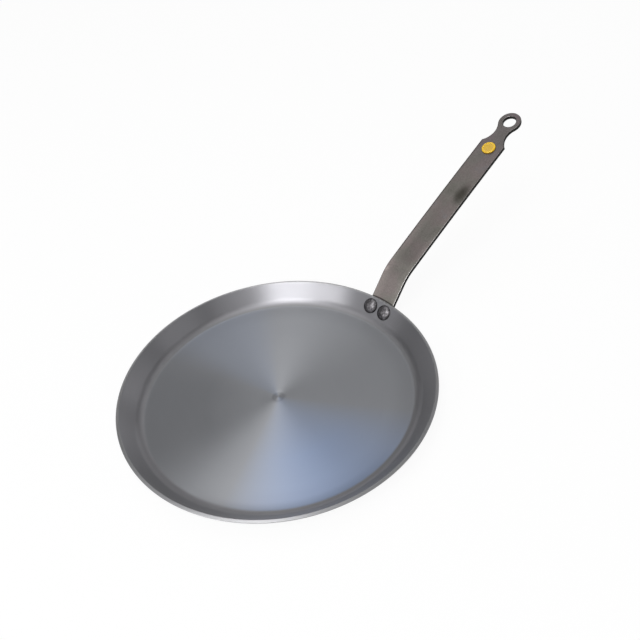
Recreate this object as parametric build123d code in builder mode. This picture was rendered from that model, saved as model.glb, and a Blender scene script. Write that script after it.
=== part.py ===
from build123d import *
from math import asin, cos, degrees, radians, sin, sqrt, tan
import os

# Crepe pan of carbon steel: a low pressed body with a flared wall, and a bent strip handle
# that two rivets hold on the outside of the wall. Millimetres and degrees, +Z up.
# The origin is the middle of the body's underside, and the handle points along +X.

# Body, one pressed sheet
rim_diameter = 260.0        # over the rolled outer edge of the rim
pan_height = 17.0           # underside of the floor to the top of the rim
sheet = 2.5                 # thickness of the pressed sheet
wall_slope = 47.0           # degrees above the floor
rim_lean = 24.0             # degrees that the sheared face of the rim falls outwards
corner_radius = 12.0        # inside, where the floor turns up into the wall
rim_outer_round = 0.5       # the sheared edges are rolled smooth
rim_inner_round = 0.35

# Handle, one strip with a bend past the rim and an eye at its end
handle_width = 24.5
handle_thickness = 3.5
edge_round = 0.7            # edges round the strip's two faces
root_length = 8.0           # strip below the rivets, on the wall
root_round = 5.0            # corners of its hidden end
rise_length = 36.7          # rivets to the corner where rise and grip would cross
bend_radius = 40.0          # of the top face in the bend
grip_slope = 24.2           # degrees above the floor, where the grip leaves the bend
grip_length = 177.1         # corner of the bend to the middle of the eye
bow_radius = 3600.0         # the grip droops very slightly
straight_end = 39.3         # and then runs straight, this far before the middle of the eye
shoulder_to_eye = 26.4      # shoulders to the middle of the eye, along the strip
shoulder_round = 1.2
neck_radius = 16.5          # hollow curve from each shoulder to the eye
eye_diameter = 21.0
hanging_hole = 12.0         # diameter

# Rivets, and the seats of rivets and strip on the round wall
rivet_below_rim = 8.2       # inner edge of the rim to the rivets, down the wall
rivet_to_edge = 4.55        # middle of each rivet to the strip's edge
rivet_head_gap = 2.0        # between the two domed heads inside the pan
rivet_head_height = 2.9
rivet_head_edge = 0.5       # upright band under the dome
rivet_shank = 5.0           # diameter
rivet_clearance = 0.1       # round the shank
rivet_tail = 8.2            # diameter of the formed head under the strip
rivet_tail_height = 1.5
rivet_tail_edge = 0.6
seat_depth = 0.25           # flat shapes are hollowed this deep to bed on the round wall

# Button, pushed into the strip
button_to_eye = 33.1        # its middle to the middle of the eye
button_diameter = 12.8
button_height = 1.5
button_round = 0.9          # outer edge of its face
button_dish = 9.2           # diameter of the shallow dish in its face
button_dish_depth = 0.3
button_stem = 6.0           # diameter
button_clearance = 0.1      # round the stem, and under the strip
button_collar = 7.6         # diameter of the snap collar under the strip
button_collar_height = 0.8

# Section of the body: where the lines of the wall and the arcs of the corner meet.
# The rim's corners stand out a little further than its rolled edges, which reach the sizes.
slope = radians(wall_slope)
lean = radians(rim_lean)
rim_face = sheet / sin(slope + lean)
roll = cos((slope - lean) / 2)
outer_excess = rim_outer_round * (roll / sin((slope + lean) / 2) - 1)
inner_excess = rim_inner_round * (roll / cos((slope + lean) / 2) - 1)
rim_outer_radius = rim_diameter / 2 + outer_excess
rim_inner_radius = rim_outer_radius - rim_face * cos(lean)
rim_inner_height = pan_height + inner_excess
rim_outer_height = rim_inner_height - rim_face * sin(lean)
foot_radius = rim_inner_radius - (rim_inner_height - sheet) / tan(slope)
floor_radius = foot_radius - corner_radius * tan(slope / 2)

# Directions on the wall at the handle, and the middle between the rivets on its inside.
up_wall = Vector(cos(slope), 0, sin(slope))
off_wall = Vector(-sin(slope), 0, cos(slope))
rivet_middle = Vector(rim_inner_radius, 0, rim_inner_height) - up_wall * rivet_below_rim
rivet_spacing = handle_width - rivet_to_edge * 2
rivet_head = rivet_spacing - rivet_head_gap
rivet_angle = degrees(asin(rivet_spacing / 2 / rivet_middle.X))
stack = sheet + handle_thickness


def wall_plane(angle):
    """Plane on the wall's inside, X up the wall, at an angle round the pan from the handle."""
    return Plane(
        rivet_middle.rotate(Axis.Z, angle),
        x_dir=up_wall.rotate(Axis.Z, angle),
        z_dir=off_wall.rotate(Axis.Z, angle),
    )


def section_plane(face):
    """Plane that cuts through a face at its origin, Y along the face's normal."""
    return Plane(face.origin, x_dir=face.x_dir, z_dir=-face.y_dir)


rivet_planes = {"rivet_left": wall_plane(rivet_angle), "rivet_right": wall_plane(-rivet_angle)}


def corner_point(radius, angle):
    """Point of the body's corner, out from the axis and up, at an angle past the floor."""
    return (
        floor_radius + radius * sin(angle),
        sheet + corner_radius - radius * cos(angle),
    )


def corner_arc(radius):
    """Arc of the body's corner, from the floor to the wall."""
    ThreePointArc(
        corner_point(radius, 0),
        corner_point(radius, slope / 2),
        corner_point(radius, slope),
    )


def drill_rivet_holes():
    """Holes for the two rivets, through what lies on the wall there."""
    for plane in rivet_planes.values():
        with Locations(plane):
            Cylinder(rivet_shank / 2 + rivet_clearance, stack * 3, mode=Mode.SUBTRACT)


# The body is one revolved section: floor, corner, wall and rolled rim.
with BuildPart() as pan_body:
    with BuildSketch(Plane.XZ) as section:
        with BuildLine():
            Polyline((floor_radius, 0), (0, 0), (0, sheet), (floor_radius, sheet))
            corner_arc(corner_radius)
            Polyline(
                corner_point(corner_radius, slope),
                (rim_inner_radius, rim_inner_height),
                (rim_outer_radius, rim_outer_height),
                corner_point(corner_radius + sheet, slope),
            )
            corner_arc(corner_radius + sheet)
        make_face()
        fillet(section.vertices().sort_by(Axis.Y)[-1], radius=rim_inner_round)
        fillet(section.vertices().sort_by(Axis.X)[-1], radius=rim_outer_round)
    revolve(axis=Axis.Z)
    drill_rivet_holes()

# The strip's top face, seen from the side: up the wall, round the bend, along the grip.
bend_turn = wall_slope - grip_slope
bend_reach = bend_radius * tan(radians(bend_turn) / 2)
bow_turn = degrees((grip_length - straight_end - bend_reach) / bow_radius)
strip_seat = rivet_middle - off_wall * (sheet - seat_depth)
root_end = strip_seat - up_wall * root_length
rise_end = strip_seat + up_wall * (rise_length - bend_reach)

with BuildLine() as top_line:
    rise = Line((root_end.X, root_end.Z), (rise_end.X, rise_end.Z))
    bend = JernArc(rise @ 1, rise % 1, radius=bend_radius, arc_size=-bend_turn)
    bow = JernArc(bend @ 1, bend % 1, radius=bow_radius, arc_size=-bow_turn)
    Line(bow @ 1, bow @ 1 + (bow % 1) * (straight_end + eye_diameter / 2))


def grip_plane(from_eye):
    """Plane on the top face of the grip's straight end, X along the grip,
    at a distance back from the middle of the eye."""
    along = bow % 1
    place = bow @ 1 + along * (straight_end - from_eye)
    return Plane(
        (place.X, 0, place.Y),
        x_dir=(along.X, 0, along.Y),
        z_dir=(-along.Y, 0, along.X),
    )


eye_plane = grip_plane(0)
button_plane = grip_plane(button_to_eye)

# Outline of the strip, seen square to its end, from the middle of the eye.
# Each hollow neck curve passes through a shoulder and touches the eye.
half_width = handle_width / 2
eye_radius = eye_diameter / 2
outline_start = -(grip_length + rise_length + root_length)
shoulder = Vector(-shoulder_to_eye, half_width)
to_shoulder = shoulder.normalized()
neck_reach = eye_radius + neck_radius
neck_along = (neck_reach**2 - neck_radius**2 + shoulder.length**2) / (2 * shoulder.length)
neck_aside = sqrt(neck_reach**2 - neck_along**2)
neck_middle = to_shoulder * neck_along + to_shoulder.rotate(Axis.Z, -90) * neck_aside
neck_bottom = neck_middle - Vector(0, neck_radius)
eye_touch = neck_middle * (eye_radius / neck_reach)


def through_edge(edge):
    """True for an edge straight through the strip's thickness."""
    return edge.geom_type == GeomType.LINE and abs(edge.length - handle_thickness) < edge_round


def face_edge(edge):
    """True for an edge round the strip's faces, or round the hanging hole."""
    across = edge.geom_type == GeomType.LINE and abs((edge % 0).Y) > sin(slope)
    return edge.length > handle_thickness + edge_round and not across


with BuildPart() as handle:
    with BuildSketch(Plane.XZ):
        with BuildLine():
            add(top_line.line)
            offset(amount=handle_thickness, side=Side.RIGHT)
        make_face()
    extrude(amount=half_width, both=True)
    with BuildSketch(eye_plane) as outline:
        with BuildLine():
            Polyline((outline_start, 0), (outline_start, half_width), shoulder)
            ThreePointArc(shoulder, neck_bottom, eye_touch)
            ThreePointArc(eye_touch, eye_touch.rotate(Axis.Z, -45), (eye_radius, 0))
            mirror(about=Plane.XZ)
        make_face()
        shoulders = outline.vertices().group_by(Axis.X)[1]
        fillet(shoulders, radius=shoulder_round)
        Circle(hanging_hole / 2, mode=Mode.SUBTRACT)
    extrude(amount=rise_length * 2, both=True, mode=Mode.INTERSECT)
    fillet(handle.edges().filter_by(through_edge).sort_by(Axis.X)[:2], radius=root_round)
    fillet(handle.edges().filter_by(face_edge), radius=edge_round)
    add(pan_body.part, mode=Mode.SUBTRACT)
    drill_rivet_holes()
    with Locations(button_plane):
        Cylinder(button_stem / 2 + button_clearance, handle_thickness * 3, mode=Mode.SUBTRACT)

# Each rivet is turned about its own axis, then bedded on the wall and on the strip.
rivets = {}
for name, plane in rivet_planes.items():
    with BuildPart() as rivet:
        with BuildSketch(section_plane(plane)):
            with BuildLine():
                head_top = (0, rivet_head_height)
                head_side = (rivet_head / 2, rivet_head_edge)
                tail_side = (rivet_tail / 2, -stack - rivet_tail_edge)
                tail_top = (0, -stack - rivet_tail_height)
                TangentArc(head_top, head_side, tangent=(1, 0))
                Polyline(
                    head_side,
                    (rivet_head / 2, -seat_depth),
                    (rivet_shank / 2, -seat_depth),
                    (rivet_shank / 2, seat_depth * 2 - stack),
                    (rivet_tail / 2, seat_depth * 2 - stack),
                    tail_side,
                )
                TangentArc(tail_top, tail_side, tangent=(1, 0))
                Line(tail_top, head_top)
            make_face()
        revolve(axis=Axis(plane.origin, plane.z_dir))
        add(pan_body.part, mode=Mode.SUBTRACT)
        add(handle.part, mode=Mode.SUBTRACT)
    rivets[name] = rivet

# The button is turned too: dished face, stem through the strip, snap collar under it.
dish_floor = button_height - button_dish_depth
collar_top = -handle_thickness - button_clearance
button_edge = (button_diameter / 2, button_height)

with BuildPart() as handle_button:
    with BuildSketch(section_plane(button_plane)) as button_section:
        with BuildLine():
            Polyline(
                (0, dish_floor),
                (button_dish / 2 - button_dish_depth, dish_floor),
                (button_dish / 2, button_height),
                button_edge,
                (button_diameter / 2, 0),
                (button_stem / 2, 0),
                (button_stem / 2, collar_top),
                (button_collar / 2, collar_top),
                (button_stem / 2, collar_top - button_collar_height),
                (0, collar_top - button_collar_height),
                close=True,
            )
        make_face()
        fillet(button_section.vertices().sort_by_distance(button_edge)[0], radius=button_round)
    revolve(axis=Axis(button_plane.origin, button_plane.z_dir))

# Each piece under its own name.
os.makedirs("parts", exist_ok=True)
pieces = {"pan_body": pan_body, "handle": handle, **rivets, "handle_button": handle_button}
for name, piece in pieces.items():
    piece.part.label = name
    export_step(piece.part, f"parts/{name}.step")
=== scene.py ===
from math import asin, cos, radians, sin, tan

import bmesh
import bpy
from mathutils import Matrix, Vector


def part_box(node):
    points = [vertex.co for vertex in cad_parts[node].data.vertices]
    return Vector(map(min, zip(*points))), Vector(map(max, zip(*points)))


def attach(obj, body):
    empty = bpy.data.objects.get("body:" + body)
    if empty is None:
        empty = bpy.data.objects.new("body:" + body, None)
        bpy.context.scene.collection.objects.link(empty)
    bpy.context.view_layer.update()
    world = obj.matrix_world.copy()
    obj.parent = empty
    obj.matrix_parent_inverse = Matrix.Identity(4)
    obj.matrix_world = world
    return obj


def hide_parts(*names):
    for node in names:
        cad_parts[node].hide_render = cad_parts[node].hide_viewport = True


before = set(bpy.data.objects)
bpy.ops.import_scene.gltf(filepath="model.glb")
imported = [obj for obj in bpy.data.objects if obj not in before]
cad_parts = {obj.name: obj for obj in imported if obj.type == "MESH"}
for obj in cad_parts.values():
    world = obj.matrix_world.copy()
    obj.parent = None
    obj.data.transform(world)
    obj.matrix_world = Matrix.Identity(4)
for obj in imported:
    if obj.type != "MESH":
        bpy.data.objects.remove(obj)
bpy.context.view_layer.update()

# Pan body. One sheet of carbon steel, pressed to a flat floor and a low flared wall, with a
# sheared rim whose edges are rolled. The floor and the wall are turned on a lathe, so their
# fine grain runs round the middle, where the lathe's centre leaves a small ringed mark.
pan_low, pan_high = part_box("pan_body")
rim_radius = pan_high.x
pan_height = pan_high.z
sheet = 0.0025
wall_slope = radians(47)
rim_lean = radians(24)
corner_radius = 0.012
rim_outer_round = 0.0005
rim_inner_round = 0.00035
rim_face = sheet / sin(wall_slope + rim_lean)
half_rim = (wall_slope + rim_lean) / 2
roll = cos((wall_slope - rim_lean) / 2)
rim_outer = rim_radius + rim_outer_round * (roll / sin(half_rim) - 1)
rim_inner = rim_outer - rim_face * cos(rim_lean)
rim_inner_height = pan_height + rim_inner_round * (roll / cos(half_rim) - 1)
rim_outer_height = rim_inner_height - rim_face * sin(rim_lean)
foot_inner = rim_inner - (rim_inner_height - sheet) / tan(wall_slope)
floor_radius = foot_inner - corner_radius * tan(wall_slope / 2)
foot_outer = floor_radius + (corner_radius + sheet) * tan(wall_slope / 2)

turns = 480                 # faces round the pan
floor_step = 0.003          # between the rings of the floor
wall_steps = 6
corner_steps = 14
roll_steps = 5
centre_dimple = 0.0007      # radius of the lathe centre's mark
centre_rings = (0.0024, 0.0042)
ring_width = 0.0005
ring_depth = 0.00009

rivet_below_rim = 0.0082
rivet_spacing = 0.0154
rivet_hole = 0.0026         # radius
up_wall = Vector((cos(wall_slope), 0, sin(wall_slope)))
off_wall = Vector((-sin(wall_slope), 0, cos(wall_slope)))
rivet_middle = Vector((rim_inner, 0, rim_inner_height)) - up_wall * rivet_below_rim
rivet_turn = asin(rivet_spacing / 2 / rivet_middle.x)


class Nodes:
    """A node tree under construction."""

    def __init__(self, group):
        self.group = group

    def add(self, kind, inputs=(), **settings):
        """Adds a node and returns its outputs. An input is a value or another node's output."""
        node = self.group.nodes.new(kind)
        for name, value in settings.items():
            setattr(node, name, value)
        for key, value in dict(inputs).items():
            if isinstance(value, bpy.types.NodeSocket):
                self.group.links.new(value, node.inputs[key])
            else:
                node.inputs[key].default_value = value
        return node.outputs

    def math(self, operation, first, second=0.0):
        return self.add("ShaderNodeMath", {0: first, 1: second}, operation=operation)[0]

    def vector(self, operation, first, second=(0, 0, 0)):
        outputs = self.add("ShaderNodeVectorMath", {0: first, 1: second}, operation=operation)
        return outputs["Value" if operation in ("LENGTH", "DOT_PRODUCT") else "Vector"]

    def scaled(self, vector, factor):
        return self.add("ShaderNodeVectorMath", {0: vector, "Scale": factor}, operation="SCALE")[0]

    def toward(self, bearing, azimuth):
        """Cosine of the angle between a bearing and an azimuth round the pan."""
        return self.vector("DOT_PRODUCT", bearing, (cos(azimuth), sin(azimuth), 0))

    def ramp(self, value, start, end, low=0.0, high=1.0, shape="LINEAR"):
        """Goes from low to high while a value goes from start to end, and no further."""
        return self.add("ShaderNodeMapRange", {
            "Value": value,
            "From Min": start,
            "From Max": end,
            "To Min": low,
            "To Max": high,
        }, interpolation_type=shape)[0]

    def soft_ramp(self, value, start, end, low=0.0, high=1.0):
        return self.ramp(value, start, end, low, high, "SMOOTHSTEP")

    def mix(self, share, first, second):
        """Blend of two colours, with a share of the second."""
        return self.add("ShaderNodeMix", {
            "Factor": share,
            "A": first,
            "B": second,
        }, data_type="RGBA")[2]

    def noise(self, place, scale, detail, roughness=0.5):
        return self.add("ShaderNodeTexNoise", {
            "Vector": place,
            "Scale": scale,
            "Detail": detail,
            "Roughness": roughness,
        })["Fac"]

    def bump(self, height, strength, distance):
        return self.add("ShaderNodeBump", {
            "Height": height,
            "Strength": strength,
            "Distance": distance,
        })[0]


class Shaping(Nodes):
    """A geometry tree with named inputs for its sizes, run on one piece after another."""

    def __init__(self, name, sizes):
        super().__init__(bpy.data.node_groups.new(name, "GeometryNodeTree"))
        sockets = self.group.interface
        sockets.new_socket("Geometry", in_out="INPUT", socket_type="NodeSocketGeometry")
        self.values = {}
        for label, value in sizes.items():
            kind = {int: "Int", float: "Float", Vector: "Vector"}[type(value)]
            socket = sockets.new_socket(label, in_out="INPUT", socket_type="NodeSocket" + kind)
            self.values[socket.identifier] = value
        sockets.new_socket("Geometry", in_out="OUTPUT", socket_type="NodeSocketGeometry")
        self.size = self.group.nodes.new("NodeGroupInput").outputs
        self.end = self.group.nodes.new("NodeGroupOutput").inputs

    def finish(self, geometry, material):
        smooth = self.add("GeometryNodeSetShadeSmooth", {"Geometry": geometry})
        painted = self.add("GeometryNodeSetMaterial", {"Geometry": smooth[0], "Material": material})
        self.group.links.new(painted[0], self.end["Geometry"])

    def run(self, piece):
        """Shapes a piece and leaves it a plain mesh."""
        modifier = piece.modifiers.new(self.group.name, "NODES")
        modifier.node_group = self.group
        for identifier, value in self.values.items():
            modifier[identifier] = value
        make_plain(piece)


def make_plain(piece):
    """Turns a piece and its modifiers into one plain mesh."""
    graph = bpy.context.evaluated_depsgraph_get()
    shaped = piece.evaluated_get(graph)
    mesh = bpy.data.meshes.new_from_object(shaped, preserve_all_data_layers=True, depsgraph=graph)
    piece.modifiers.clear()
    piece.data = mesh


def new_piece(name, mesh):
    """Object for a piece, at the origin, with its place in its mesh."""
    piece = bpy.data.objects.new(name, mesh)
    bpy.context.scene.collection.objects.link(piece)
    return piece


def settle(piece, node):
    """Puts a finished piece in its CAD node's place."""
    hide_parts(node)
    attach(piece, "root")


def new_finish(name):
    """Empty material, with its nodes and the place on the piece."""
    material = bpy.data.materials.new(name)
    material.use_nodes = True
    material.node_tree.nodes.clear()
    nodes = Nodes(material.node_tree)
    return material, nodes, nodes.add("ShaderNodeTexCoord")["Object"]


def end_finish(nodes, shader):
    output = nodes.group.nodes.new("ShaderNodeOutputMaterial")
    nodes.group.links.new(shader, output.inputs["Surface"])


def straight(start, end, steps):
    """Places between the two ends of a straight stretch."""
    return [start.lerp(end, i / steps) for i in range(1, steps)]


def pan_section():
    """Section of the pan, out from the middle of its floor, over the rim and back under it.
    Each place is followed by the radius and the steps of the round there."""
    places = [(Vector((0, sheet - ring_depth)), 0, 0), (Vector((centre_dimple, sheet)), 0, 0)]
    for ring in centre_rings:
        for share, depth in ((-1, 0), (0, ring_depth), (1, 0)):
            places.append((Vector((ring + share * ring_width, sheet - depth)), 0, 0))
    rings = round(floor_radius / floor_step)
    marked = Vector((centre_rings[-1] + ring_width, sheet))
    places += [(place, 0, 0) for place in straight(marked, Vector((floor_radius, sheet)), rings)]
    inner_foot = Vector((foot_inner, sheet))
    inner_rim = Vector((rim_inner, rim_inner_height))
    outer_rim = Vector((rim_outer, rim_outer_height))
    outer_foot = Vector((foot_outer, 0))
    wall_start = inner_foot.lerp(inner_rim, (corner_radius / 2) / (inner_rim - inner_foot).length)
    wall_end = outer_foot.lerp(outer_rim, (corner_radius / 2) / (outer_rim - outer_foot).length)
    places.append((inner_foot, corner_radius, corner_steps))
    places += [(place, 0, 0) for place in straight(wall_start, inner_rim, wall_steps)]
    places.append((inner_rim, rim_inner_round, roll_steps))
    places.append((outer_rim, rim_outer_round, roll_steps))
    places += [(place, 0, 0) for place in straight(outer_rim, wall_end, wall_steps)]
    places.append((outer_foot, corner_radius + sheet, corner_steps))
    underside = straight(Vector((floor_radius, 0)), Vector((0, 0)), rings // 2)
    places += [(place, 0, 0) for place in underside]
    places.append((Vector((0, 0)), 0, 0))
    return places


def section_mesh(places):
    """The section as a line of edges, measured out from the rim."""
    bm = bmesh.new()
    round_radius = bm.verts.layers.float.new("round_radius")
    round_steps = bm.verts.layers.int.new("round_steps")
    for place, radius, steps in places:
        vertex = bm.verts.new((place.x - rim_radius, -place.y, 0))
        vertex[round_radius] = radius
        vertex[round_steps] = steps
    line = list(bm.verts)
    for start, end in zip(line, line[1:]):
        bm.edges.new((start, end))
    mesh = bpy.data.meshes.new("pan_section")
    bm.to_mesh(mesh)
    bm.free()
    return mesh


# The turned steel: long fine arcs round the middle, seen as a fan in the gloss. The wall is neutral
# and the floor a little cooler. The floor has a painted bluish reflection at the front right and a
# faint one at the back, painted shade at its left, next to its corner and at its front edge, and less
# gloss in the rings of its mark. The corner is darkened by painted shade, less so at the left and at
# the front.
arcs_round = 3.0            # of their noise, round the middle: some twenty arcs in a turn
arcs_across = 900.0         # and out from it: some nine hundred to a metre
floor_colours = ((0.298, 0.306, 0.326, 1), (0.318, 0.325, 0.343, 1))
# Painted bluish reflection on the floor, where the fan's light falls at the front right and faintly at
# the back.
blue_reflection_colour = (0.281, 0.342, 0.480, 1)
blue_reflection_azimuth = radians(253)
blue_reflection_end = 0.66             # cosine of the angle from its azimuth where it ends
blue_reflection_growth = (0.10, 0.60)  # shares of the floor's radius between which it grows
blue_reflection_least = 0.40           # its share inside them
faint_reflection_azimuth = radians(77)
faint_reflection_end = 0.85
faint_reflection_share = 0.22
reflection_heights = (0.5, 0.9)   # shares of the sheet: there is none on the underside
# Painted shade on the floor: darker at its left, next to its corner and at its front edge.
dark_side_azimuth = radians(140)
dark_side_cosines = (0.60, 0.97)
dark_side_growth = (0.15, 0.55)
dark_side_depth = 0.23      # share of its colour that painted shade takes from the floor there
edge_growth = (0.82, 1.00)
edge_cosines = (0.75, 0.00)
edge_depth = 0.1            # and next to the corner, but for the dark side
front_azimuth = radians(235)
front_edge_growth = (0.94, 1.01)
front_edge_cosines = (0.70, 0.95)
front_edge_depth = 0.2      # and there more
centre_depth = 0.16         # share of its gloss that the floor loses in the rings of its mark
corner_heights = (0.00001, 0.0002)      # over the floor, where the corner's tone sets in
wall_heights = (0.0003, 0.0014)         # and where the wall's does
# The corner's darker colour is painted shade, lessened at the left and at the front.
corner_shade_colour = (0.208, 0.208, 0.216, 1)
wall_colour = (0.292, 0.290, 0.307, 1)
pale_corner_azimuth = radians(170)
pale_corner_cosines = (0.60, 0.95)
pale_corner_share = 0.5     # how far the corner takes the wall's tone there
front_corner_cosines = (-0.60, 0.20)
front_corner_share = 0.35   # and at the front
rubbed_rim = (0.39, 0.39, 0.40, 1)
pan_steel, nodes, place = new_finish("turned_carbon_steel")
flat = nodes.vector("MULTIPLY", place, (1, 1, 0))
bearing = nodes.vector("NORMALIZE", flat)
out = nodes.vector("LENGTH", flat)
across_floor = nodes.math("DIVIDE", out, floor_radius)
height = nodes.add("ShaderNodeSeparateXYZ", {0: place})["Z"]
over_floor = nodes.math("SUBTRACT", height, sheet)
tangent = nodes.add("ShaderNodeVectorTransform", {
    0: nodes.vector("CROSS_PRODUCT", (0, 0, 1), place),
}, vector_type="VECTOR", convert_from="OBJECT", convert_to="WORLD")[0]
along_section = nodes.math("ADD", out, height)
arc_place = nodes.vector("ADD", nodes.scaled(bearing, arcs_round), nodes.add("ShaderNodeCombineXYZ", {
    "Z": nodes.math("MULTIPLY", along_section, arcs_across),
})[0])
arcs = nodes.noise(arc_place, 1.0, 4.0, 0.6)
floor_tone = nodes.mix(nodes.noise(place, 22.0, 3.0), *floor_colours)
# Painted bluish reflection, stronger farther out, and none on the underside.
blue_reflection = nodes.math(
    "MULTIPLY",
    nodes.ramp(nodes.toward(bearing, blue_reflection_azimuth), blue_reflection_end, 1.0),
    nodes.ramp(across_floor, *blue_reflection_growth, blue_reflection_least, 1.0),
)
to_faint_reflection = nodes.toward(bearing, faint_reflection_azimuth)
faint_reflection = nodes.soft_ramp(to_faint_reflection, faint_reflection_end, 1.0, 0.0, faint_reflection_share)
inside = nodes.ramp(nodes.math("DIVIDE", height, sheet), *reflection_heights)
painted_reflection = nodes.math("MULTIPLY", nodes.math("ADD", blue_reflection, faint_reflection), inside)
reflected_tone = nodes.mix(painted_reflection, floor_tone, blue_reflection_colour)
# Painted shade: the floor is darker at its left, next to its corner and at its front edge.
to_dark_side = nodes.toward(bearing, dark_side_azimuth)
dark_side = nodes.math(
    "MULTIPLY",
    nodes.soft_ramp(to_dark_side, *dark_side_cosines, 0.0, dark_side_depth),
    nodes.ramp(across_floor, *dark_side_growth),
)
dark_edge = nodes.math(
    "MULTIPLY",
    nodes.soft_ramp(across_floor, *edge_growth, 0.0, edge_depth),
    nodes.ramp(to_dark_side, *edge_cosines),
)
to_front = nodes.toward(bearing, front_azimuth)
front_edge = nodes.math(
    "MULTIPLY",
    nodes.soft_ramp(across_floor, *front_edge_growth, 0.0, front_edge_depth),
    nodes.ramp(to_front, *front_edge_cosines),
)
last_ring = centre_rings[-1]
dark_centre = nodes.soft_ramp(out, last_ring + ring_width * 4, last_ring, 0.0, centre_depth)
shaded_side_and_mark = nodes.math("ADD", dark_side, dark_centre)
shaded_edges = nodes.math("ADD", dark_edge, front_edge)
shade_and_mark_factor = nodes.math("SUBTRACT", 1.0, nodes.math("ADD", shaded_side_and_mark, shaded_edges))
# Painted shade in the corner, lessened at the left and at the front.
to_pale_corner = nodes.toward(bearing, pale_corner_azimuth)
pale_corner = nodes.soft_ramp(to_pale_corner, *pale_corner_cosines, 0.0, pale_corner_share)
front_corner = nodes.ramp(to_front, *front_corner_cosines, 0.0, front_corner_share)
corner_tone = nodes.mix(nodes.math("ADD", pale_corner, front_corner), corner_shade_colour, wall_colour)
wall_tone = nodes.mix(nodes.ramp(over_floor, *wall_heights), corner_tone, wall_colour)
shaded_floor = nodes.scaled(reflected_tone, shade_and_mark_factor)
turned_tone = nodes.mix(nodes.ramp(over_floor, *corner_heights), shaded_floor, wall_tone)
rim_wear = nodes.ramp(out, rim_inner - rim_inner_round * 2, rim_inner)
grooves = nodes.bump(arcs, 0.2, 0.00003)
steel = nodes.add("ShaderNodeBsdfPrincipled", {
    "Base Color": nodes.mix(rim_wear, turned_tone, rubbed_rim),
    "Metallic": 1.0,
    "Roughness": nodes.math(
        "ADD",
        nodes.math("MULTIPLY", arcs, 0.1),
        nodes.ramp(rim_wear, 0.0, 1.0, 0.32, 0.46),
    ),
    "Anisotropic": 0.76,
    "Anisotropic Rotation": 0.25,
    "Tangent": nodes.vector("NORMALIZE", tangent),
    "Normal": grooves,
})
end_finish(nodes, steel[0])

lathe = Shaping("lathe", {
    "Turns": turns,
    "Rim Radius": rim_radius,
    "Hole Radius": rivet_hole,
    "Hole Turn": rivet_turn,
    "Hole Tilt": -wall_slope,
    "Hole Place": rivet_middle,
    "Hole Depth": corner_radius,
})
section = lathe.add("GeometryNodeMeshToCurve", {"Mesh": lathe.size["Geometry"]})[0]
rounded = lathe.add("GeometryNodeFilletCurve", {
    "Curve": section,
    "Radius": lathe.add("GeometryNodeInputNamedAttribute", {
        "Name": "round_radius",
    }, data_type="FLOAT")[0],
    "Count": lathe.add("GeometryNodeInputNamedAttribute", {
        "Name": "round_steps",
    }, data_type="INT")[0],
}, mode="POLY")[0]
path = lathe.add("GeometryNodeCurvePrimitiveCircle", {
    "Resolution": lathe.size["Turns"],
    "Radius": lathe.size["Rim Radius"],
})[0]
turned = lathe.add("GeometryNodeCurveToMesh", {"Curve": path, "Profile Curve": rounded})[0]
body = lathe.add("GeometryNodeMergeByDistance", {
    "Geometry": turned,
    "Distance": centre_dimple / 100,
})[0]
drill = lathe.add("GeometryNodeMeshCylinder", {
    "Vertices": 40,
    "Radius": lathe.size["Hole Radius"],
    "Depth": lathe.size["Hole Depth"],
})[0]
leaned = lathe.add("GeometryNodeTransform", {
    "Geometry": drill,
    "Rotation": lathe.add("ShaderNodeCombineXYZ", {"Y": lathe.size["Hole Tilt"]})[0],
    "Translation": lathe.size["Hole Place"],
})[0]
for side in (1.0, -1.0):
    turn = lathe.math("MULTIPLY", lathe.size["Hole Turn"], side)
    placed = lathe.add("GeometryNodeTransform", {
        "Geometry": leaned,
        "Rotation": lathe.add("ShaderNodeCombineXYZ", {"Z": turn})[0],
    })[0]
    body = lathe.add("GeometryNodeMeshBoolean", {
        "Mesh 1": body,
        "Mesh 2": placed,
    }, solver="EXACT")[0]
lathe.finish(body, pan_steel)
pan = new_piece("turned_pan_body", section_mesh(pan_section()))
lathe.run(pan)
settle(pan, "pan_body")

# Handle. One strip of hot-rolled steel, bent once past the rim and sheared to a shouldered
# neck and an eye. Its edges are rolled, and its faces keep the mill's dull brown-grey scale.
strip_low, strip_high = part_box("handle")
strip_side = (strip_high.y - strip_low.y) / 2
strip_cut = 0.002           # between the lines that its faces are divided by
strip_wave_height = 0.00005
strip_wave_length = 0.02    # the rolled faces aren't perfectly flat
bend_start = 0.137          # out from the middle of the pan
bend_end = 0.155
grip_slope = radians(23)    # on the whole, for it droops a little
edge_turn = radians(12)     # an edge that turns further gets a painted highlight at the strip's right
dark_turn = radians(38)     # as far as this, and is dark beyond it and all along the left
vertex_gap = 0.0000009      # vertices nearer than this are one


def merged_copy(node, name):
    """Copy of a CAD node as one closed mesh, with its doubles merged."""
    bm = bmesh.new()
    bm.from_mesh(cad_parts[node].data)
    bmesh.ops.remove_doubles(bm, verts=bm.verts, dist=vertex_gap)
    mesh = bpy.data.meshes.new(name)
    bm.to_mesh(mesh)
    bm.free()
    for layer in ("custom_normal", "sharp_edge", "sharp_face"):
        if layer in mesh.attributes:
            mesh.attributes.remove(mesh.attributes[layer])
    return new_piece(name, mesh)


def divide(piece, axis, step):
    """Cuts a piece's faces along evenly spaced planes square to an axis."""
    bm = bmesh.new()
    bm.from_mesh(piece.data)
    places = [vertex.co.dot(axis) for vertex in bm.verts]
    lowest = min(places)
    for i in range(1, int((max(places) - lowest) / step)):
        whole = bm.verts[:] + bm.edges[:] + bm.faces[:]
        cut = axis * (lowest + i * step)
        bmesh.ops.bisect_plane(bm, geom=whole, dist=step / 1000, plane_co=cut, plane_no=axis)
    bm.to_mesh(piece.data)
    bm.free()


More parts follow.
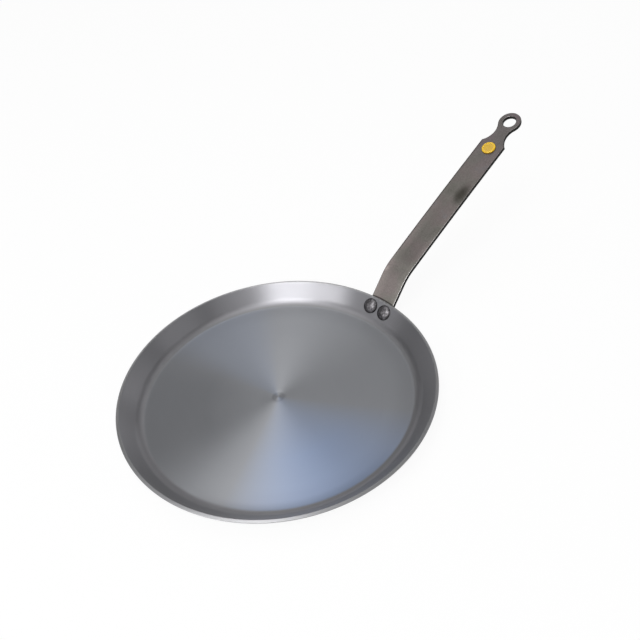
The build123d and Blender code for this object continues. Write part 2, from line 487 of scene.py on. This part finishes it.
# The strip's scale: dull brown-grey, with cooler and pinker heat stains and one scorch. It is brighter
# along its edges, where it is handled and rubbed. Painted light brightens its root on the wall,
# painted highlights lie on its right edge and on its left edge in the bend, and a painted shadow lines
# it where it comes out from under the rim. The sheared sides and the walls of its holes are nearly
# black. Places along it are measured out from the middle of the pan.
stain_colours = (
    (0.30, (0.129, 0.123, 0.111, 1)),
    (0.42, (0.151, 0.142, 0.131, 1)),
    (0.52, (0.158, 0.139, 0.133, 1)),
    (0.60, (0.166, 0.144, 0.140, 1)),
    (0.70, (0.156, 0.154, 0.158, 1)),
)
heat_colour = (0.125, 0.098, 0.122, 1)
heat_reach = (0.255, 0.290)
heat_share = 0.6
scorch_colour = (0.050, 0.047, 0.040, 1)
scorch = Vector((0.2335, -0.0065, 0.0728))
scorch_size = Vector((0.013, 0.0065, 0.013))
scorch_shares = (0.6, 1.7)  # of its size, between which it fades
scorch_depth = 0.95
root_reach = (0.165, 0.148)
root_light = 1.5             # how much brighter painted light makes the scale where the strip lies on the wall
edge_reach = (0.225, 0.185)
edge_sides = (0.005, 0.012)     # out from the strip's middle line
edge_waver = 0.004          # how far the stains move them
edge_wear = 0.38            # how much brighter it is along its edges, up to half way along
right_wear_less = 0.003     # how much narrower that is at the right
left_line = 0.0016          # width of the dark line on its left edge, past the bend
left_line_end = bend_end * 1.1
rim_shadow_width = 0.0012            # width of the painted shadow line where the strip comes out from under the rim
line_tone = 0.3             # of both lines
painted_glint = Vector((0.1495, 0.0105, 0.0345))      # a painted highlight on its left edge, in the bend
glint_size = 0.004
glint_tone = 1.6
grain_tones = (0.91, 1.09)
# The painted highlight on the rounded faces of its right edge, and how far along it reaches:
highlight_colour = (0.50, 0.49, 0.48, 1)
highlight_reach = (0.24, 0.15)
highlight_shares = (0.25, 0.9)
sheared_colour = (0.018, 0.017, 0.016, 1)
strip_steel, nodes, place = new_finish("rolled_strip_steel")
along = nodes.add("ShaderNodeSeparateXYZ", {0: place})
stains = nodes.noise(place, 34.0, 3.0, 0.55)
stain_tones = nodes.group.nodes.new("ShaderNodeValToRGB")
stops = stain_tones.color_ramp.elements
for share, colour in stain_colours:
    stops.new(share).color = colour
stops.remove(stops[0])
stops.remove(stops[-1])
nodes.group.links.new(stains, stain_tones.inputs["Fac"])
heat = nodes.ramp(along["X"], *heat_reach, 0.0, heat_share)
heated = nodes.mix(nodes.math("MULTIPLY", heat, stains), stain_tones.outputs["Color"], heat_colour)
to_scorch = nodes.vector("DIVIDE", nodes.vector("SUBTRACT", place, scorch), scorch_size)
ragged = nodes.math("ADD", nodes.vector("LENGTH", to_scorch), stains)
at_scorch = nodes.soft_ramp(ragged, *scorch_shares, scorch_depth, 0.0)
scorched = nodes.mix(at_scorch, heated, scorch_colour)
# Painted light on the root, where the strip lies on the wall.
painted_root_light = nodes.soft_ramp(along["X"], *root_reach, 1.0, root_light)
to_right = nodes.math("SUBTRACT", -right_wear_less, along["Y"])
to_edge = nodes.math("MAXIMUM", along["Y"], to_right)
at_edges = nodes.math(
    "MULTIPLY",
    nodes.ramp(nodes.math("ADD", to_edge, nodes.math("MULTIPLY", stains, edge_waver)), *edge_sides),
    nodes.ramp(along["X"], *edge_reach, 0.0, edge_wear),
)
grain = nodes.ramp(nodes.noise(place, 800.0, 2.0), 0.3, 0.7, *grain_tones)
out = nodes.vector("LENGTH", nodes.vector("MULTIPLY", place, (1, 1, 0)))
# Painted shadow where the strip comes out from under the rim.
rim_shadow = nodes.ramp(out, rim_radius + rim_shadow_width / 2, rim_radius + rim_shadow_width, line_tone, 1.0)
narrower = nodes.ramp(along["X"], bend_start, left_line_end, -left_line, 0.0)
by_edge = nodes.ramp(
    nodes.math("ADD", along["Y"], narrower),
    strip_side - left_line, strip_side - left_line / 2,
    1.0, line_tone,
)
# Painted highlight on the left edge, in the bend.
to_glint = nodes.vector("LENGTH", nodes.vector("SUBTRACT", place, painted_glint))
at_glint = nodes.soft_ramp(to_glint, glint_size, 0.0, 1.0, glint_tone)
# Brightness of the scale: its edge wear and grain, with the painted light, highlight and shadow.
wear_and_painted_light = nodes.math("ADD", painted_root_light, at_edges)
for brightness in (grain, rim_shadow, by_edge, at_glint):
    wear_and_painted_light = nodes.math("MULTIPLY", wear_and_painted_light, brightness)
# Painted highlight on the rounded faces of the right edge.
painted_highlight_edge = nodes.add("ShaderNodeAttribute", attribute_name="painted_highlight_edge")["Fac"]
edge_highlight = nodes.math("MULTIPLY", painted_highlight_edge, nodes.ramp(along["X"], *highlight_reach, *highlight_shares))
highlighted_scale = nodes.mix(edge_highlight, nodes.scaled(scorched, wear_and_painted_light), highlight_colour)
cut_edge = nodes.add("ShaderNodeAttribute", attribute_name="cut_edge")["Fac"]
streaks = nodes.noise(nodes.vector("MULTIPLY", place, (1, 14, 1)), 60.0, 5.0)
steel = nodes.add("ShaderNodeBsdfPrincipled", {
    "Base Color": nodes.mix(cut_edge, highlighted_scale, sheared_colour),
    "Metallic": nodes.ramp(cut_edge, 0.0, 1.0, 0.9, 0.0),
    "Specular IOR Level": 0.05,
    "Roughness": nodes.ramp(streaks, 0.0, 1.0, 0.38, 0.55),
    "Normal": nodes.bump(nodes.noise(place, 900.0, 3.0), 0.3, 0.00006),
})
end_finish(nodes, steel[0])

rolling = Shaping("rolling", {
    "Wave Height": strip_wave_height,
    "Wave Length": strip_wave_length,
    "Bend Start": bend_start,
    "Bend End": bend_end,
    "Root Slope": wall_slope,
    "Grip Slope": grip_slope,
    "Edge Turn": cos(edge_turn),
    "Dark Edge": cos(dark_turn),
})
place = rolling.add("GeometryNodeInputPosition")[0]
normal = rolling.add("GeometryNodeInputNormal")[0]
per_length = rolling.math("DIVIDE", 1.0, rolling.size["Wave Length"])
waves = rolling.noise(place, per_length, 2.0)
lift = rolling.math("MULTIPLY", rolling.math("SUBTRACT", waves, 0.5), rolling.size["Wave Height"])
rolled = rolling.add("GeometryNodeSetPosition", {
    "Geometry": rolling.size["Geometry"],
    "Offset": rolling.scaled(normal, lift),
})[0]
slope = rolling.ramp(
    rolling.add("ShaderNodeSeparateXYZ", {0: place})["X"],
    rolling.size["Bend Start"], rolling.size["Bend End"],
    rolling.size["Root Slope"], rolling.size["Grip Slope"],
)
face_normal = rolling.add("ShaderNodeCombineXYZ", {
    "X": rolling.math("MULTIPLY", rolling.math("SINE", slope), -1.0),
    "Z": rolling.math("COSINE", slope),
})[0]
flatness = rolling.math("ABSOLUTE", rolling.vector("DOT_PRODUCT", normal, face_normal))
to_left = rolling.add("ShaderNodeSeparateXYZ", {0: normal})["Y"]
on_right = rolling.math("LESS_THAN", to_left, 0.0)
dark_from = rolling.ramp(on_right, 0.0, 1.0, rolling.size["Edge Turn"], rolling.size["Dark Edge"])
dark = rolling.math("LESS_THAN", flatness, dark_from)
# Faces of the right edge that turn between the two limits get a painted highlight.
turned_over = rolling.math("LESS_THAN", flatness, rolling.size["Edge Turn"])
bright = rolling.math("MULTIPLY", on_right, rolling.math("SUBTRACT", turned_over, dark))
marked = rolled
for label, share in (("cut_edge", dark), ("painted_highlight_edge", bright)):
    marked = rolling.add("GeometryNodeStoreNamedAttribute", {
        "Geometry": marked,
        "Name": label,
        "Value": share,
    }, data_type="FLOAT", domain="FACE")[0]
rolling.finish(marked, strip_steel)
strip = merged_copy("handle", "rolled_strip_handle")
divide(strip, Vector((1, 0, 0)), strip_cut)
divide(strip, Vector((0, 1, 0)), strip_cut)
rolling.run(strip)
strip.modifiers.new("face_normals", "WEIGHTED_NORMAL")
make_plain(strip)
settle(strip, "handle")

# Rivets. Two solid steel rivets go through the wall and the strip. Their domed heads inside
# the pan carry the marks of the hammer, and their tails under the strip are swelled to hold it.
hammer_depth = 0.00022
hammer_mark = 0.0028        # across one mark
seat_height = 0.0005        # the edge of a head isn't struck

# The struck steel: darker than the pan, satin, with fine pits and smudges, and painted shade, nearly
# black, where a head meets the wall.
dark_smudge = (0.071, 0.068, 0.072, 1)
pale_smudge = (0.218, 0.210, 0.220, 1)
foot_shade = 0.12
rivet_steel, nodes, place = new_finish("hammered_rivet_steel")
pits = nodes.noise(place, 800.0, 4.0, 0.65)
smudges = nodes.noise(place, 420.0, 2.0)
tone = nodes.mix(nodes.ramp(smudges, 0.35, 0.65), dark_smudge, pale_smudge)
# Painted shade, nearly black, where a head meets the wall.
above = nodes.vector("DOT_PRODUCT", nodes.vector("SUBTRACT", place, rivet_middle), off_wall)
foot = nodes.ramp(above, seat_height * 0.6, seat_height * 3.8, foot_shade, 1.0)
steel = nodes.add("ShaderNodeBsdfPrincipled", {
    "Base Color": nodes.scaled(tone, foot),
    "Metallic": 1.0,
    "Roughness": nodes.ramp(smudges, 0.0, 1.0, 0.46, 0.34),
    "Normal": nodes.bump(pits, 0.8, 0.0003),
})
end_finish(nodes, steel[0])

hammering = Shaping("hammering", {
    "Mark Depth": hammer_depth,
    "Mark Size": hammer_mark,
    "Seat Height": seat_height,
    "Wall Normal": off_wall,
    "Wall Place": rivet_middle,
})
denser = hammering.add("GeometryNodeSubdivideMesh", {
    "Mesh": hammering.size["Geometry"],
    "Level": 1,
})[0]
place = hammering.add("GeometryNodeInputPosition")[0]
normal = hammering.add("GeometryNodeInputNormal")[0]
marks = hammering.add("ShaderNodeTexVoronoi", {
    "Vector": place,
    "Scale": hammering.math("DIVIDE", 1.0, hammering.size["Mark Size"]),
    "Smoothness": 0.6,
}, feature="SMOOTH_F1")["Distance"]
from_wall = hammering.vector("SUBTRACT", place, hammering.size["Wall Place"])
above = hammering.vector("DOT_PRODUCT", from_wall, hammering.size["Wall Normal"])
struck = hammering.math("GREATER_THAN", above, hammering.size["Seat Height"])
dent = hammering.math("MULTIPLY", hammering.math("SUBTRACT", marks, 0.8), hammering.size["Mark Depth"])
dented = hammering.add("GeometryNodeSetPosition", {
    "Geometry": denser,
    "Offset": hammering.scaled(normal, hammering.math("MULTIPLY", dent, struck)),
})[0]
hammering.finish(dented, rivet_steel)
for side in ("left", "right"):
    rivet = merged_copy("rivet_" + side, "hammered_rivet_" + side)
    hammering.run(rivet)
    settle(rivet, "rivet_" + side)

# Button. A yellow plastic button with a dished face, pushed into a hole in the strip, where a snap
# collar under the strip holds it. Painted shade darkens it to amber at its foot.
button_height = 0.0015
button_place = Vector((0.2814, 0, 0.0931))      # on the strip, under its middle
button_lean = radians(22.1)
strip_normal = Vector((-sin(button_lean), 0, cos(button_lean)))
button_yellows = ((0.72, 0.43, 0.008, 1), (0.80, 0.52, 0.014, 1))
button_foot_shade = (0.16, 0.075, 0.006, 1)
button_plastic, nodes, place = new_finish("glossy_yellow_plastic")
tint = nodes.noise(place, 180.0, 2.0)
yellow = nodes.mix(tint, *button_yellows)
# Painted shade: amber at the button's foot.
over_strip = nodes.vector("DOT_PRODUCT", nodes.vector("SUBTRACT", place, button_place), strip_normal)
over_foot = nodes.ramp(over_strip, button_height * 0.4, button_height * 0.95)
plastic = nodes.add("ShaderNodeBsdfPrincipled", {
    "Base Color": nodes.mix(over_foot, button_foot_shade, yellow),
    "Roughness": nodes.ramp(tint, 0.0, 1.0, 0.24, 0.32),
    "Specular IOR Level": 0.3,
    "Coat Weight": 0.25,
    "Coat Roughness": 0.12,
})
end_finish(nodes, plastic[0])
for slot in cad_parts["handle_button"].material_slots:
    slot.material = button_plastic

# Floor. A plain white sweep that the pan stands on, and that keeps its shadow. Far out its
# edge goes up all round, and is the backdrop.
floor_reach = 6.0
backdrop_height = 1.4
floor_drop = 0.0001         # below the pan, so that the two don't lie in one plane
paper_colour = (0.9, 0.9, 0.9, 1)
glow_share = 0.93           # of plain white, where it is seen and not lit
floor_white, nodes, place = new_finish("white_floor")
paper = nodes.add("ShaderNodeBsdfDiffuse", {"Color": paper_colour})[0]
white = nodes.add("ShaderNodeEmission", {"Color": (1, 1, 1, 1), "Strength": 1.0})[0]
ray = nodes.add("ShaderNodeLightPath")
mirrored = nodes.math("MAXIMUM", ray["Is Glossy Ray"], ray["Is Transmission Ray"])
seen = nodes.math("MAXIMUM", ray["Is Camera Ray"], mirrored)
shown = nodes.add("ShaderNodeMixShader", {
    0: nodes.math("MULTIPLY", seen, glow_share),
    1: paper,
    2: white,
})[0]
end_finish(nodes, shown)
bm = bmesh.new()
bmesh.ops.create_cone(
    bm, cap_ends=True, segments=64, radius1=floor_reach, radius2=floor_reach + backdrop_height / 2,
    depth=backdrop_height, matrix=Matrix.Translation((0, 0, backdrop_height / 2)),
)
bm.faces.remove(max(bm.faces, key=lambda face: face.calc_center_median().z))
bmesh.ops.reverse_faces(bm, faces=bm.faces[:])
floor_mesh = bpy.data.meshes.new("studio_floor")
bm.to_mesh(floor_mesh)
bm.free()
floor_mesh.transform(Matrix.Translation((0, 0, pan_low.z - floor_drop)))
floor_mesh.materials.append(floor_white)
studio_floor = new_piece("studio_floor", floor_mesh)

# Light. A tent of softboxes round the pan. The two keys at the front left draw the fan on its
# floor and the gleam on its far wall, weaker ones fill the other sides, and low pale panels
# stand behind it.
lamp_distance = 2.0
room = 0.05                 # strength of the room's own light
world = bpy.data.worlds.new("studio")
bpy.context.scene.world = world
world.use_nodes = True
world.node_tree.nodes["Background"].inputs["Color"].default_value = (1, 1, 1, 1)
world.node_tree.nodes["Background"].inputs["Strength"].default_value = room


def softbox(name, azimuth, elevation, wide, high, power):
    """Area light that faces the pan, from an azimuth round it and an elevation in degrees."""
    a, e = radians(azimuth), radians(elevation)
    away = Vector((cos(a) * cos(e), sin(a) * cos(e), sin(e)))
    light = bpy.data.lights.new(name, "AREA")
    light.shape = "RECTANGLE"
    light.size = wide
    light.size_y = high
    light.energy = power
    lamp = bpy.data.objects.new(name, light)
    lamp.location = away * lamp_distance
    lamp.rotation_euler = away.to_track_quat("Z", "Y").to_euler()
    bpy.context.scene.collection.objects.link(lamp)


softbox("high_key", 205, 56, 0.9, 0.6, 17.5)
softbox("left_key", 179, 30, 0.7, 0.6, 10.5)
softbox("left_fill", 140, 34, 1.2, 0.9, 3.1)
softbox("top_front", 215, 78, 1.4, 1.0, 4.5)
softbox("front_fill", 250, 38, 1.3, 0.8, 3.2)
softbox("right_fill", 300, 34, 1.2, 0.9, 2.8)
softbox("overhead", 90, 76, 1.2, 1.2, 6)
softbox("high_back", 54, 56, 1.4, 0.9, 4.2)
softbox("high_right", 0, 66, 1.6, 1.2, 1.2)
softbox("low_right", 340, 22, 1.4, 0.7, 1.7)
softbox("right_panel", 0, 22, 2.2, 0.6, 1.2)
softbox("back_panel", 45, 22, 2.2, 0.6, 1.6)
softbox("left_panel", 90, 22, 2.2, 0.6, 0.5)

# Camera. It stands where the photograph's camera stood, above and before the pan.
camera_azimuth = radians(-39.872)
camera_elevation = radians(42.124)
camera_roll = radians(-8.325)
camera_distance = 0.745882
camera_target = Vector((0.087078, 0.037660, sheet))
image_side = 640            # pixels
focal_length = 837.195      # pixels
sensor = 36                 # millimetres
back = Vector((
    sin(camera_azimuth) * cos(camera_elevation),
    -cos(camera_azimuth) * cos(camera_elevation),
    sin(camera_elevation),
))
level_right = Vector((cos(camera_azimuth), sin(camera_azimuth), 0))
level_up = back.cross(level_right)
right = level_right * cos(camera_roll) + level_up * sin(camera_roll)
up = level_up * cos(camera_roll) - level_right * sin(camera_roll)
lens = bpy.data.cameras.new("photo_camera")
lens.sensor_width = sensor
lens.lens = focal_length / image_side * sensor
lens.clip_start = 0.01
camera = bpy.data.objects.new("photo_camera", lens)
camera.matrix_world = Matrix.Translation(camera_target + back * camera_distance) @ Matrix(
    (right, up, back)
).transposed().to_4x4()
bpy.context.scene.collection.objects.link(camera)
bpy.context.scene.camera = camera
bpy.context.scene.view_settings.view_transform = "Standard"
